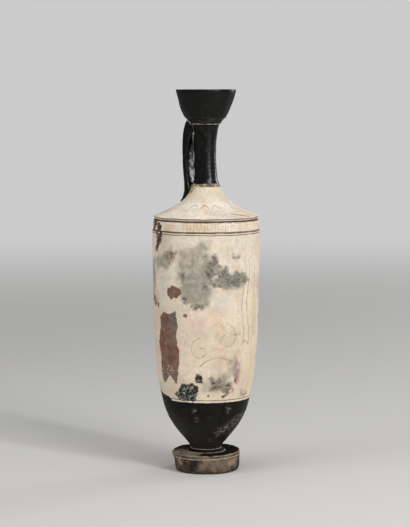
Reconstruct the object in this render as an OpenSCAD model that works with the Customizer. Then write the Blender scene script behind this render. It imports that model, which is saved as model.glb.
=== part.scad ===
// Lekythos: an oil flask of fired clay, thrown in sections that are luted together with slip.
// Origin at the centre of the resting ring, +Z up, handle towards -X, millimetres.

/* [Foot] */
// Height of the disc at its outer edge
disc_h = 19.3; // [15:0.1:24]
// Widest radius of the disc
disc_r = 34.1; // [28:0.1:41]
// How far the ring that the vessel rests on lies inside the disc's edge
rest_in = 3.1; // [2:0.1:6]
// Width of the resting ring
ring_w = 10; // [6:0.1:14]
// Depth of the turned hollow inside the resting ring
hollow_h = 5; // [2:0.1:8]
// Height of the raised ring on the disc
torus_h = 2.9; // [2:0.1:5]
// Width of the raised ring, beyond the body's stem
torus_w = 3.8; // [3:0.1:6]
// Distance of the incised line on the disc's side below its top
line_drop = 3.9; // [3:0.1:7]

/* [Body] */
// Height of the body, from the foot's seat to the joint under the shoulder
body_h = 230.2; // [190:0.1:280]
// Radius of the body where it sits on the foot
stem_r = 15.2; // [12.5:0.1:18.5]
// Radius where the bowl turns into the wall
turn_r = 44; // [38:0.1:48]
// Height of that turn above the foot's seat
turn_h = 50.4; // [40:0.1:62]
// Widest radius of the wall
belly_r = 53.5; // [48:0.1:65]
// Distance of the widest radius below the shoulder joint
belly_drop = 16; // [8:0.1:40]
// How much the wall draws in from its widest radius to the shoulder joint
top_in = 1; // [0.5:0.1:4]
// Thickness of the wall
body_wall = 4.2; // [3:0.1:5.5]
// Thickness of the floor above the foot's seat
body_floor = 8; // [5:0.1:14]

/* [Shoulder] */
// Height of the shoulder, from its joint with the body to the neck's seat
shoulder_h = 33.5; // [27:0.1:42]
// Height of the sharp edge above the joint
edge_h = 2.6; // [1.5:0.1:4]
// How far the edge lies inside the wall below it
edge_in = 0.3; // [0:0.1:1.5]
// Width of the ledge round the foot of the neck
ledge_w = 1.7; // [1:0.1:4]
// Thickness of the shoulder
shoulder_wall = 4.4; // [3:0.1:6]

/* [Neck] */
// Height of the neck between its two seats
neck_h = 59.5; // [48:0.1:75]
// Radius of the neck at its lower seat
neck_base_r = 12.4; // [11.5:0.1:15]
// Radius of the neck at its waist
waist_r = 10.2; // [9:0.1:12.5]
// Radius of the neck at its upper seat
neck_top_r = 13.2; // [12:0.1:16]
// Radius of the bore
bore_r = 6.5; // [5:0.1:7.8]

/* [Mouth] */
// Height of the mouth, from the neck's upper seat to the rim
mouth_h = 34.6; // [28:0.1:44]
// How far the mouth's underside stands out from the neck at its seat
step_w = 1; // [0.5:0.1:2]
// Width of the underside, from the seat to the turn into the side
under_w = 6.1; // [4:0.1:9]
// Height of that turn above the seat
under_h = 6.6; // [5:0.1:9]
// Radius of the rim
rim_r = 30.1; // [26:0.1:36]
// Width of the flat rim
rim_w = 5; // [3:0.1:7]
// Thickness of the side of the cup
cup_wall = 4.6; // [3:0.1:5.5]

/* [Handle] */
// Width of the strap
strap_w = 17; // [12:0.1:20.5]
// Thickness of the strap at its middle
strap_t = 7.2; // [5:0.1:9]
// Gap between the strap and the neck's waist
gap_w = 5.8; // [4.8:0.1:9]
// How much wider the strap is pressed out at its two roots
root_flare = 3; // [0:0.1:5]

/* [Joints] */
// Thickness of the neck's two spigots round the bore
spigot_wall = 3.1; // [2.5:0.1:4]
// Length of the neck's lower spigot, the tenon and the lip
lap = 4; // [2:0.1:5]
// Distance of the tenon under the body inside the stem's radius
tenon_in = 5; // [3:0.1:7]
// Width of the lip under the shoulder
lip_w = 3.5; // [2:0.1:5]
// Thickness of the slip between two luted pieces
slip = 0.15; // [0.1:0.05:0.3]

/* [Hidden] */
$fn = 96;

// Seats of the pieces, from the table up
seat_body = disc_h + torus_h;
seat_shoulder = seat_body + body_h;
seat_neck = seat_shoulder + shoulder_h;
seat_mouth = seat_neck + neck_h;

// Radii of what fits or lines up
rest_r = disc_r - rest_in;
hollow_r = rest_r - ring_w;
torus_r = stem_r + torus_w;
tenon_r = stem_r - tenon_in;
top_r = belly_r - top_in;
edge_r = top_r - edge_in;
collar_r = neck_base_r + ledge_w;
spigot_r = bore_r + spigot_wall;
cup_base_r = neck_top_r + step_w;
strap_in_r = waist_r + gap_w;
strap_out_r = strap_in_r + strap_t;

// Depth of an incised line, and the size of a rounded edge
groove = 0.5;
soft_edge = 1.2;
// Height of the cup's floor above its seat, where the neck's upper spigot ends too
floor_h = 6.2;

// Points along a short curve and along a long one
steps = 14;
long_steps = 20;
// Points round and along the strap, and its squareness, where 2 is an oval
strap_sides = 28;
strap_rings = 36;
strap_square = 3.2;
// How deep the strap's roots start inside the neck and the shoulder, before they are cut to fit
root_sink = 3.4;

// Handles of the curves: how far each one leaves its end point, as radius and height
side_lean = [0.1, 4.5];
stem_lean = [3.8, 9.8];
turn_lean = [5.1, 29.1];
wall_pull = 19.4;
top_swell = 0.4;
edge_lean = [-20, 7.2];
collar_lean = [2.9, -15.1];
neck_skew = 0.3;
step_lean = [2, 4];
under_lean = [-1.4, -1.1];
cup_lean = [3.5, 5.5];
rim_lean = [-2, -11];
head_lean = [12.5, -1];
knee_lean = [0.6, 6.6];
root_lean = [-4, 7.5];

// Cubic curve from a to d, leaving a towards b and reaching d from c
function at(a, b, c, d, t) =
    pow(1 - t, 3) * a + 3 * pow(1 - t, 2) * t * b + 3 * (1 - t) * t * t * c + pow(t, 3) * d;
function curve(a, b, c, d, n = steps) = [for (i = [0 : n]) at(a, b, c, d, i / n)];
// Radius of the two handles that bring a curve between two ends to a given radius at its middle
function pull(middle, end_a, end_b) = (8 * middle - end_a - end_b) / 6;
// Points of a list after its first one, to join two curves
function tail(list) = [for (i = [1 : len(list) - 1]) list[i]];
function flip(list) = [for (i = [len(list) - 1 : -1 : 0]) list[i]];
function shift(list, by) = [for (p = list) p + by];

// Outline moved inwards by a wall, square to the outline at each point
function heading(list, i) =
    let (d = list[min(i + 1, len(list) - 1)] - list[max(i - 1, 0)]) d / norm(d);
function inside(list, wall) =
    [for (i = [0 : len(list) - 1]) let (d = heading(list, i)) list[i] + wall * [-d[1], d[0]]];

// Outlines, as radius and height above the piece's own seat

turn = [turn_r, turn_h];
belly = [belly_r, body_h - belly_drop];
body_bowl = curve([stem_r, 0], [stem_r, 0] + stem_lean, turn - turn_lean, turn);
body_side = curve(turn, turn + 0.3 * turn_lean, [belly_r, turn_h + wall_pull], belly);
body_top = curve(belly, belly + [0, belly_drop / 3], [top_r + top_swell, body_h - belly_drop / 3],
                 [top_r, body_h], 5);
body_line = concat(body_bowl, tail(body_side), tail(body_top));

edge = [edge_r, edge_h];
collar = [collar_r, shoulder_h];
shoulder_line = curve(edge, edge + edge_lean, collar + collar_lean, collar, long_steps);

waist_pull = pull(waist_r, neck_base_r, neck_top_r);
neck_line = curve([neck_base_r, 0], [waist_pull + neck_skew, neck_h * 0.25],
                  [waist_pull - neck_skew, neck_h * 0.82], [neck_top_r, neck_h], long_steps);

cup_base = [cup_base_r, 0];
cup_turn = [cup_base_r + under_w, under_h];
rim = [rim_r, mouth_h];
cup_line = concat(
    curve(cup_base, cup_base + step_lean, cup_turn + under_lean, cup_turn, 6),
    tail(curve(cup_turn, cup_turn + cup_lean, rim + rim_lean, rim)));

module turned(points) rotate_extrude() polygon(points);

module seat_at(z) translate([0, 0, z]) children();

module foot() color([0.36, 0.30, 0.25]) difference() {
    side_foot = [disc_r - 0.3, disc_h / 3];
    line_h = disc_h - line_drop;
    turned(concat(
        [[0, hollow_h], [hollow_r * 0.6, hollow_h * 0.9], [hollow_r - 1, hollow_h * 0.3],
         [hollow_r, 0]],
        curve([rest_r, 0], [rest_r + soft_edge * 1.5, 0], side_foot - side_lean, side_foot, 6),
        [[disc_r - 0.1, line_h - groove], [disc_r - groove, line_h], [disc_r, line_h + groove]],
        curve([disc_r, disc_h - soft_edge * 1.4], [disc_r, disc_h - soft_edge / 3],
              [disc_r - groove, disc_h], [disc_r - soft_edge * 1.4, disc_h], 4),
        [[torus_r + groove, disc_h - 0.3], [torus_r, disc_h - 0.3 - groove]],
        curve([torus_r - groove, disc_h], [torus_r - groove, seat_body - 1],
              [torus_r - 1.8, seat_body - 0.3], [stem_r + groove, seat_body - groove], 5),
        [[stem_r, seat_body], [0, seat_body]]));
    seat_at(seat_body - lap) cylinder(r = tenon_r + slip, h = lap + 1);
}

module body() color([0.86, 0.82, 0.74]) {
    hollow = [for (p = inside(body_line, body_wall)) if (p[1] > body_floor + 1 && p[1] < body_h) p];
    seat_at(seat_body) turned(concat(
        [[0, slip - lap], [tenon_r, slip - lap], [tenon_r, 0]],
        [for (p = body_line) if (p[1] < body_h - soft_edge) p],
        [[top_r - 0.1, body_h - soft_edge], [top_r - soft_edge, body_h], [top_r - body_wall, body_h]],
        flip(hollow),
        [[hollow[0][0] / 2, body_floor + 0.6], [0, body_floor]]));
}

module shoulder() color([0.88, 0.84, 0.76]) {
    socket_r = spigot_r + slip;
    socket_h = shoulder_h - lap - slip;
    lip_r = top_r - body_wall - slip;
    under = [for (p = inside(shoulder_line, shoulder_wall))
             if (p[0] > socket_r + groove && p[0] < lip_r - lip_w && p[1] > groove) p];
    seat_at(seat_shoulder) turned(concat(
        [[lip_r, -lap], [lip_r, 0], [edge_r - soft_edge, 0]],
        shoulder_line,
        [[socket_r, shoulder_h], [socket_r, socket_h], [under[len(under) - 1][0] - 1, socket_h - 3]],
        flip(under),
        [[lip_r - lip_w, -lap]]));
}

module neck() color([0.12, 0.12, 0.12]) seat_at(seat_neck) difference() {
    turned(concat(
        [[0, -lap], [spigot_r, -lap], [spigot_r, 0]],
        neck_line,
        [[spigot_r, neck_h], [spigot_r, neck_h + floor_h], [0, neck_h + floor_h]]));
    seat_at(-lap - 1) cylinder(r = bore_r, h = lap + neck_h + floor_h + 2);
}

module mouth() color([0.11, 0.11, 0.11]) {
    socket_r = spigot_r + slip;
    lip_h = mouth_h - soft_edge;
    hollow = [for (p = inside(cup_line, cup_wall))
              if (p[0] > socket_r + 1 && p[1] > floor_h + 0.8 && p[1] < lip_h - groove) p];
    seat_at(seat_mouth) turned(concat(
        [[socket_r, 0]],
        [for (p = cup_line) if (p[1] < lip_h) p],
        [[rim_r - 0.2, mouth_h - groove], [rim_r - 1, mouth_h],
         [rim_r - rim_w + groove, mouth_h], [rim_r - rim_w, mouth_h - groove]],
        flip(hollow),
        [[socket_r, floor_h]]));
}

// Strap handle: faces swept between an outer and an inner line in the plane y = 0

// Outer face, from under the mouth past a knee at the neck's foot to a root in the shoulder
outer_head = [cup_base_r + 0.8, seat_mouth + under_h];
outer_knee = [strap_out_r - 1.8, seat_neck - 2];
outer_root = shoulder_line[long_steps / 2] + [0, seat_shoulder - root_sink];
outer_line = concat(
    curve(outer_head, outer_head + head_lean, [strap_out_r + 0.3, seat_neck + neck_h / 3],
          outer_knee, strap_rings * 2 / 3),
    tail(curve(outer_knee, outer_knee - knee_lean, outer_root + root_lean, outer_root,
               strap_rings / 3)));

// Inner face, from inside the neck down to inside the collar
inner_head = [neck_top_r - root_sink, seat_mouth - 9.5];
inner_root = [collar_r - 2, seat_neck - 8];
inner_pull = pull(strap_in_r, inner_head[0], inner_root[0]);
inner_line = curve(inner_head, [inner_pull, inner_head[1] - 9], [inner_pull, inner_root[1] + 20],
                   inner_root, strap_rings);

function pressed(v) = sign(v) * pow(abs(v), 2 / strap_square);
// One ring of the strap between the two lines, i counted from the head
function ring(i) =
    let (out = outer_line[i], in = inner_line[i], mid = (out + in) / 2, half = (out - in) / 2,
         end = pow(abs(2 * i / strap_rings - 1), 4), w = (strap_w + root_flare * end) / 2)
    [for (k = [0 : strap_sides - 1])
        let (a = 360 * k / strap_sides, p = mid + half * pressed(cos(a)))
        [-p[0], w * pressed(sin(a)), p[1]]];

module strap() {
    points = [for (i = [0 : strap_rings]) each ring(i)];
    sides = [for (i = [0 : strap_rings - 1]) for (k = [0 : strap_sides - 1])
        let (next = (k + 1) % strap_sides, a = i * strap_sides, b = a + strap_sides)
        each [[a + k, a + next, b + next], [a + k, b + next, b + k]]];
    last = strap_rings * strap_sides;
    ends = [for (k = [1 : strap_sides - 2])
        each [[0, k + 1, k], [last, last + k, last + k + 1]]];
    polyhedron(points, concat(sides, ends));
}

// The strap is pressed on while soft, so its roots take the shape of the neck, mouth and shoulder
module handle() color([0.13, 0.13, 0.13]) difference() {
    strap();
    seat_at(seat_neck) turned(concat([[0, 0]], shift(neck_line, [slip, 0]), [[0, neck_h]]));
    seat_at(seat_mouth) turned(concat(
        [[0, -slip]], [for (p = cup_line) if (p[1] < mouth_h / 2) p + [slip, -slip]],
        [[0, mouth_h / 2]]));
    seat_at(seat_shoulder) turned(concat(
        [[0, 0], [edge_r, 0]], shift(shoulder_line, [0, slip]), [[0, shoulder_h + slip]]));
}

foot();
body();
shoulder();
neck();
mouth();
handle();
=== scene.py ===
# Lekythos: the looks of a fired-clay oil flask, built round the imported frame.
# Metres, +Z up, handle towards -X. Places on the vessel are an azimuth in degrees, counted to the
# right from the side that faces the camera, and a height in millimetres above the table.
import math
from collections import namedtuple

import bmesh
import bpy
import numpy as np
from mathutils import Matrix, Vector
from mathutils.bvhtree import BVHTree


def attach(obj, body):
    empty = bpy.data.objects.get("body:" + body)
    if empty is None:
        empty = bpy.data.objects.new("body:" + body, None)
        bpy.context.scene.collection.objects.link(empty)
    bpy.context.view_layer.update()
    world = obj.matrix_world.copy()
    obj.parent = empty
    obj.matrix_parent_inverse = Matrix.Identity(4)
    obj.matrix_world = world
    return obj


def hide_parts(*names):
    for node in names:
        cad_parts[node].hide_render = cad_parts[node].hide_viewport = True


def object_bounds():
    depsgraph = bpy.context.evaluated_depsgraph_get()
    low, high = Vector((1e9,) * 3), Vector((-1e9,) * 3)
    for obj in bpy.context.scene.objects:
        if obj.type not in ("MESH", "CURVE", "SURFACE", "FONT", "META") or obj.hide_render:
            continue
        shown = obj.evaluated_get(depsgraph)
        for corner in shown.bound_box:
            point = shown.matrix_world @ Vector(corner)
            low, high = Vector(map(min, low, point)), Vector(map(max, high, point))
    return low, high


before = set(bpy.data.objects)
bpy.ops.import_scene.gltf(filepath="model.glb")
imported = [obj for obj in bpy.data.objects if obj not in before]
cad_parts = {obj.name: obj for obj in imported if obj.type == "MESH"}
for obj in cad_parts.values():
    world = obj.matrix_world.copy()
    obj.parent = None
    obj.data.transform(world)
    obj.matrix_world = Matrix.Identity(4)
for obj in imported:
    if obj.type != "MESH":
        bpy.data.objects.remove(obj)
cad_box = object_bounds()

MM = 0.001
# Angle about Z of the side that faces the camera
FRONT = math.radians(-65)

# Camera: the photograph's, fitted to the ellipses of the foot and the mouth
CAMERA_DISTANCE = 1.925
CAMERA_HEIGHT = 0.389
CAMERA_PITCH = math.radians(5.4)
CAMERA_LENS = 132.5
AXIS_RIGHT_OF_CENTRE = 0.001

# Places of the CAD model, in millimetres: heights of the seats, the foot's disc and its raised ring
MOUTH_SEAT = 345.4
NECK_SEAT = 285.9
DISC_TOP = 19.3
DISC_RADIUS = 34.1
INCISED_LINE = 15.4
STEM_RADIUS = 15.2
RING_RADIUS = 19.0


def direction(azimuth, elevation=0.0):
    """Unit vector out from the vessel's axis."""
    a = FRONT + math.radians(azimuth)
    e = math.radians(elevation)
    return Vector((math.cos(a) * math.cos(e), math.sin(a) * math.cos(e), math.sin(e)))


def add_camera():
    data = bpy.data.cameras.new("camera")
    data.sensor_fit = "VERTICAL"
    data.sensor_height = 36
    data.lens = CAMERA_LENS
    camera = bpy.data.objects.new("camera", data)
    bpy.context.scene.collection.objects.link(camera)
    camera.location = CAMERA_DISTANCE * direction(0) - AXIS_RIGHT_OF_CENTRE * direction(90)
    camera.location.z = CAMERA_HEIGHT
    look = -math.cos(CAMERA_PITCH) * direction(0)
    look.z = -math.sin(CAMERA_PITCH)
    camera.rotation_euler = look.to_track_quat("-Z", "Y").to_euler()
    bpy.context.scene.camera = camera


# Light and floor

def tone(red, green, blue):
    """Linear colour of a tone given as it looks, in 0 to 255."""
    def linear(v):
        v /= 255
        return v / 12.92 if v <= 0.04045 else ((v + 0.055) / 1.055) ** 2.4
    return (linear(red), linear(green), linear(blue), 1.0)


WORLD_LIGHT = 0.34
WORLD_SEEN = 0.60
WORLD_MIRRORED = 0.13
FLOOR_TONE = tone(205, 204, 201)
FLOOR_MIRRORED = tone(140, 139, 137)
FLOOR_REACH = 40.0
FLOOR_SHOWS_TO = 0.7
FLOOR_GONE_FROM = 3.0

# Softboxes: azimuth and elevation in degrees, distance, width and height in metres, watts, height
# of the point that they face, and whether gloss mirrors them
SOFTBOXES = {
    "key": (36, 34, 1.9, 0.6, 0.8, 12.5, 0.2, True),
    "strip": (44, 15, 1.9, 0.14, 0.6, 12, 0.3, True),
    "fill": (-58, 18, 2.2, 1.4, 1.6, 17, 0.2, False),
    "top": (0, 80, 1.8, 1.4, 1.4, 8, 0.2, True),
    "behind": (129, 9, 1.9, 0.24, 0.6, 7.5, 0.3, True),
}


def add_softbox(name, azimuth, elevation, distance, width, height, watts, aim, mirrored):
    data = bpy.data.lights.new(name, "AREA")
    data.shape = "RECTANGLE"
    data.size = width
    data.size_y = height
    data.energy = watts
    lamp = bpy.data.objects.new(name, data)
    bpy.context.scene.collection.objects.link(lamp)
    way = direction(azimuth, elevation)
    lamp.location = distance * way + Vector((0, 0, aim))
    lamp.rotation_euler = way.to_track_quat("Z", "Y").to_euler()
    lamp.visible_glossy = mirrored


def add_world():
    """A plain world, with one strength as light, one for the camera and one for reflections."""
    world = bpy.data.worlds.new("studio")
    bpy.context.scene.world = world
    world.use_nodes = True
    tree = world.node_tree
    back = tree.nodes["Background"]
    back.inputs["Color"].default_value = (1, 1, 1, 1)
    path = tree.nodes.new("ShaderNodeLightPath")
    mirrored = tree.nodes.new("ShaderNodeMix")
    mirrored.inputs[2].default_value = WORLD_LIGHT
    mirrored.inputs[3].default_value = WORLD_MIRRORED
    tree.links.new(path.outputs["Is Glossy Ray"], mirrored.inputs[0])
    seen = tree.nodes.new("ShaderNodeMix")
    seen.inputs[3].default_value = WORLD_SEEN
    tree.links.new(path.outputs["Is Camera Ray"], seen.inputs[0])
    tree.links.new(mirrored.outputs[0], seen.inputs[2])
    tree.links.new(seen.outputs[0], back.inputs["Strength"])


def add_floor():
    """A plain floor that turns into the world's tone far from the vessel."""
    mesh = bpy.data.meshes.new("floor")
    far = FLOOR_REACH
    corners = [(-far, -far, 0), (far, -far, 0), (far, far, 0), (-far, far, 0)]
    mesh.from_pydata(corners, [], [(0, 1, 2, 3)])
    floor = bpy.data.objects.new("floor", mesh)
    bpy.context.scene.collection.objects.link(floor)
    s = Shader("floor")
    s.surface.inputs["Roughness"].default_value = 0.9
    path = s.make("ShaderNodeLightPath")
    mirrored = path.outputs["Is Glossy Ray"]
    s.put(s.surface.inputs["Base Color"], s.mix(mirrored, FLOOR_TONE, FLOOR_MIRRORED))
    distance = s.math("SQRT", s.plus(s.times(s.x, s.x), s.times(s.y, s.y)))
    far_away = s.ramp(distance, FLOOR_SHOWS_TO, FLOOR_GONE_FROM)
    glow = s.make("ShaderNodeEmission")
    s.put(glow.inputs["Strength"], s.blend(mirrored, WORLD_SEEN, WORLD_MIRRORED))
    seen = s.most(path.outputs["Is Camera Ray"], mirrored)
    blend = s.make("ShaderNodeMixShader")
    s.put(blend.inputs[0], s.times(far_away, seen))
    s.put(blend.inputs[1], s.surface.outputs[0])
    s.put(blend.inputs[2], glow.outputs[0])
    s.put(s.tree.nodes["Material Output"].inputs["Surface"], blend.outputs[0])
    mesh.materials.append(s.material)


# Numbers and noise on mesh points

def smooth(value, low, high):
    """0 below low, 1 above high, smooth between."""
    t = np.clip((value - low) / (high - low), 0, 1)
    return t * t * (3 - 2 * t)


def waves(points, size, seed, count=14):
    """Smooth noise of about unit height at points: waves of about one size, in all directions."""
    rng = np.random.RandomState(seed)
    ways = rng.normal(size=(count, 3))
    ways /= np.linalg.norm(ways, axis=1)[:, None]
    lengths = 2 * np.pi / (size * rng.uniform(0.7, 1.5, count))
    phases = rng.uniform(0, 2 * np.pi, count)
    total = np.zeros(len(points))
    for way, length, phase in zip(ways, lengths, phases):
        total += np.sin(points @ way * length + phase)
    return total / math.sqrt(count / 2)


def turned_to(azimuth):
    """Azimuth from the camera side in degrees, from -180 to 180, of an angle about Z in radians."""
    return (np.degrees(azimuth - FRONT) + 180) % 360 - 180


# Turned pieces: the frame's outline with a finer skin

SAME_RING = 3e-5
FINE_STEP = 0.2 * MM
WORN_EDGE = 0.35 * MM
MOST_TURN = math.radians(11)

# What painting needs of every mesh point: degrees, metres, millimetres, and whether it faces out
Skin = namedtuple("Skin", "azimuth r z outer")


def outline(node):
    """Outline of a turned CAD piece, as radius and height in order, and whether it is closed."""
    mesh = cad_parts[node].data
    flat = np.empty(len(mesh.vertices) * 3)
    mesh.vertices.foreach_get("co", flat)
    places = flat.reshape(-1, 3)
    radii = np.hypot(places[:, 0], places[:, 1])
    rings = []
    ring_of = []
    for r, z in zip(radii, places[:, 2]):
        same = (i for i, (a, b) in enumerate(rings) if abs(a - r) < SAME_RING and abs(b - z) < SAME_RING)
        found = next(same, len(rings))
        if found == len(rings):
            rings.append((r, z))
        ring_of.append(found)
    links = [set() for ring in rings]
    for edge in mesh.edges:
        a, b = (ring_of[i] for i in edge.vertices)
        if a != b:
            links[a].add(b)
            links[b].add(a)
    ends = [i for i, near in enumerate(links) if len(near) == 1]
    order = [ends[0] if ends else 0]
    while True:
        onward = [i for i in sorted(links[order[-1]]) if i not in order[-2:-1]]
        if not onward or onward[0] == order[0]:
            break
        order.append(onward[0])
    points = [rings[i] for i in order]
    if ends:
        if points[0][0] > SAME_RING:
            points.insert(0, (0, points[0][1]))
        if points[-1][0] > SAME_RING:
            points.append((0, points[-1][1]))
    points = np.array(points, float)
    following = np.roll(points, -1, 0)
    area = np.sum(points[:, 0] * following[:, 1] - following[:, 0] * points[:, 1])
    return (points if area > 0 else points[::-1]), not ends


def fine_outline(points, closed):
    """The outline at even small steps, with its edges rounded as by wear."""
    path = np.vstack([points, points[:1]]) if closed else points
    run = np.concatenate([[0], np.cumsum(np.hypot(*np.diff(path, axis=0).T))])
    count = int(run[-1] / FINE_STEP)
    at = np.linspace(0, run[-1], count, endpoint=not closed)
    fine = np.column_stack([np.interp(at, run, path[:, k]) for k in (0, 1)])
    reach = int(3 * WORN_EDGE / FINE_STEP)
    weights = np.exp(-0.5 * (np.arange(-reach, reach + 1) * FINE_STEP / WORN_EDGE) ** 2)
    weights /= weights.sum()
    if closed:
        padded = np.vstack([fine[-reach:], fine, fine[:reach]])
    else:
        padded = np.vstack([2 * fine[0] - fine[reach:0:-1], fine, 2 * fine[-1] - fine[-2:-reach - 2:-1]])
    return np.column_stack([np.convolve(padded[:, k], weights, "valid") for k in (0, 1)])


def pick_rings(fine, spacing):
    """Rings along the outline: one at each spacing, and more where it turns."""
    ways = np.diff(fine, axis=0)
    headings = np.unwrap(np.arctan2(ways[:, 1], ways[:, 0]))
    lengths = np.hypot(*ways.T)
    kept = [0]
    run = 0
    turn = 0
    for i in range(1, len(fine) - 1):
        run += lengths[i - 1]
        turn += abs(headings[i] - headings[i - 1])
        if run >= spacing[i] or (turn > MOST_TURN and run > 1.5 * FINE_STEP):
            kept.append(i)
            run = 0
            turn = 0
    kept.append(len(fine) - 1)
    return np.array(kept)


def outward(fine, closed):
    """Unit normals of an outline that runs anticlockwise."""
    if closed:
        ways = np.roll(fine, -1, 0) - np.roll(fine, 1, 0)
    else:
        ways = np.gradient(fine, axis=0)
    ways /= np.hypot(*ways.T)[:, None] + 1e-12
    return np.column_stack([ways[:, 1], -ways[:, 0]])


def turned_piece(node, name, sides, step, relief, inner_step=None, bend=None):
    """A turned piece that stands for its node: rings round Z, moved along their normals by relief."""
    points, closed = outline(node)
    fine = fine_outline(points, closed)
    spacing = np.full(len(fine), step)
    normals = outward(fine, closed)
    facing_out = normals[:, 0] > 0.02
    if inner_step:
        spacing = np.where(facing_out, step, inner_step)
    kept = pick_rings(fine, spacing)
    if closed:
        kept = kept[:-1]
    rings = fine[kept]
    normals = normals[kept]
    on_axis = rings[:, 0] < SAME_RING
    angles = np.linspace(0, 2 * np.pi, sides, endpoint=False)
    angle = np.tile(angles, len(rings))
    r = np.repeat(rings[:, 0], sides)
    z = np.repeat(rings[:, 1], sides)
    places = np.column_stack([r * np.cos(angle), r * np.sin(angle), z])
    shift = relief(places, turned_to(angle), r, z)
    shift[np.repeat(on_axis, sides)] = 0
    moved_r = r + shift * np.repeat(normals[:, 0], sides)
    moved_z = z + shift * np.repeat(normals[:, 1], sides)
    verts = np.column_stack([moved_r * np.cos(angle), moved_r * np.sin(angle), moved_z])
    if bend:
        verts += bend(turned_to(angle), r / MM, z / MM)
    verts[:, 2] = np.clip(verts[:, 2], cad_box[0][2], cad_box[1][2])
    count = len(rings)
    faces = []
    last = count if closed else count - 1
    column = np.arange(sides)
    beside = np.roll(column, -1)
    for i in range(last):
        a, b = i * sides, (i + 1) % count * sides
        if on_axis[i]:
            faces += np.column_stack([np.full(sides, a), b + beside, b + column]).tolist()
        elif on_axis[(i + 1) % count]:
            faces += np.column_stack([a + column, a + beside, np.full(sides, b)]).tolist()
        else:
            faces += np.column_stack([a + column, a + beside, b + beside, b + column]).tolist()
    mesh = bpy.data.meshes.new(name)
    used = np.ones(len(verts), bool)
    for i in np.flatnonzero(on_axis):
        used[i * sides + 1:(i + 1) * sides] = False
    number = np.cumsum(used) - 1
    mesh.from_pydata(verts[used].tolist(), [], [[int(number[k]) for k in face] for face in faces])
    outer = np.repeat(facing_out[kept], sides)[used]
    return finish_piece(mesh, name, node), Skin(turned_to(angle[used]), r[used], z[used] / MM, outer)


def finish_piece(mesh, name, node):
    mesh.update()
    mesh.shade_smooth()
    piece = bpy.data.objects.new(name, mesh)
    bpy.context.scene.collection.objects.link(piece)
    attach(piece, "root")
    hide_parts(node)
    return piece


def store(piece, name, values):
    """Keeps one number per point on the mesh, for the material to read."""
    layer = piece.data.attributes.new(name, "FLOAT", "POINT")
    layer.data.foreach_set("value", np.asarray(values, np.float32))


# Relief of each piece, in metres along the normal

def throwing_marks(places, z, period, depth, seed):
    """Faint rings that the potter's fingers leave, drifting a little round the vessel."""
    drift = waves(places, 90 * MM, seed) * 0.9 * MM
    strength = 0.6 + 0.4 * waves(places, 60 * MM, seed + 1)
    return depth * np.sin(2 * np.pi * (z + drift) / period) * strength


def near(azimuth, centre, reach):
    """1 at an azimuth and 0 beyond its reach on either side, in degrees."""
    return smooth(np.abs((azimuth - centre + 180) % 360 - 180), reach, 0)


def body_relief(places, azimuth, r, z):
    shift = throwing_marks(places, z, 8.5 * MM, 0.045 * MM, 11)
    shift += 0.10 * MM * waves(places, 45 * MM, 12) + 0.03 * MM * waves(places, 7 * MM, 13)
    return shift - 0.28 * MM


def shoulder_relief(places, azimuth, r, z):
    shift = throwing_marks(places, z, 5 * MM, 0.03 * MM, 21)
    return shift + 0.08 * MM * waves(places, 30 * MM, 22) - 0.12 * MM


def waist(z):
    """1 along the neck's middle and 0 at its two ends, z in millimetres."""
    return smooth(z, 290, 308) * smooth(z, 342, 325)


def neck_relief(places, azimuth, r, z):
    base = smooth(z, 291.5 * MM, 287 * MM)
    shift = 0.04 * MM * waves(places, 12 * MM, 31) + throwing_marks(places, z, 4.2 * MM, 0.02 * MM, 32)
    return shift + 0.75 * MM * waist(z / MM) + 0.7 * MM * base


def neck_bend(azimuth, r, z):
    """The neck's middle leans a little to the left."""
    return np.outer(0.95 * MM * waist(z), direction(-90))


def mouth_bend(azimuth, r, z):
    """The cup's lower half leans a little to the left, while its seat and rim stay."""
    lean = 0.7 * MM * smooth(z, 347, 352) * smooth(z, 372, 361)
    return np.outer(lean, direction(-90))


def mouth_relief(places, azimuth, r, z):
    shift = throwing_marks(places, z, 5.2 * MM, 0.03 * MM, 41)
    shift += 0.06 * MM * waves(places, 18 * MM, 42)
    return shift - 0.12 * MM


def foot_relief(places, azimuth, r, z):
    side = smooth(r, 27 * MM, 33 * MM)
    shift = side * 0.10 * MM * waves(places, 6 * MM, 51) + side * 0.12 * MM * waves(places, 16 * MM, 52)
    chip = smooth(waves(places, 9 * MM, 53), 1.1, 2.0) * smooth(z, 14 * MM, 19 * MM)
    return shift - 0.2 * MM * side - 0.5 * MM * side * chip


def foot_bend(azimuth, r, z):
    """The disc's top tilts down to the front left, and its left side is worn back."""
    rim = smooth(r, 19, 34) * smooth(z, 5, 17)
    tilt = rim * (0.2 - 0.8 * np.cos(np.radians(azimuth + 45))) * MM
    worn = 2.6 * MM * near(azimuth, -95, 60) * smooth(z, 18, 9) * smooth(r, 22, 31)
    a = FRONT + np.radians(azimuth)
    return np.column_stack([-worn * np.cos(a), -worn * np.sin(a), tilt])


# Painted places: signed distances in millimetres, above 0 inside, stored on the mesh points

# Distance that stands for no patch near
NOWHERE = -9.0
# Radius at which millimetres round the vessel are counted
BELLY = 52.0


def along(azimuth):
    """Millimetres round the vessel's widest part, to the right of the camera side."""
    return np.radians(azimuth) * BELLY


def nearer_turn(azimuth, centre):
    """Azimuths counted so that they lie within half a turn of the centre."""
    return centre + (azimuth - centre + 180) % 360 - 180


def to_strokes(azimuth, z, points):
    """Distance of every mesh point to a line through points given as azimuth and height."""
    points = np.array(points, float)
    centre = points[:, 0].mean()
    x = along(nearer_turn(azimuth, centre))
    least = np.full(len(x), 1e3)
    for (a, low), (b, high) in zip(points[:-1], points[1:]):
        ax, bx = along(a), along(b)
        length = (bx - ax) ** 2 + (high - low) ** 2 + 1e-9
        t = np.clip(((x - ax) * (bx - ax) + (z - low) * (high - low)) / length, 0, 1)
        least = np.minimum(least, np.hypot(x - ax - t * (bx - ax), z - low - t * (high - low)))
    return least


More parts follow.
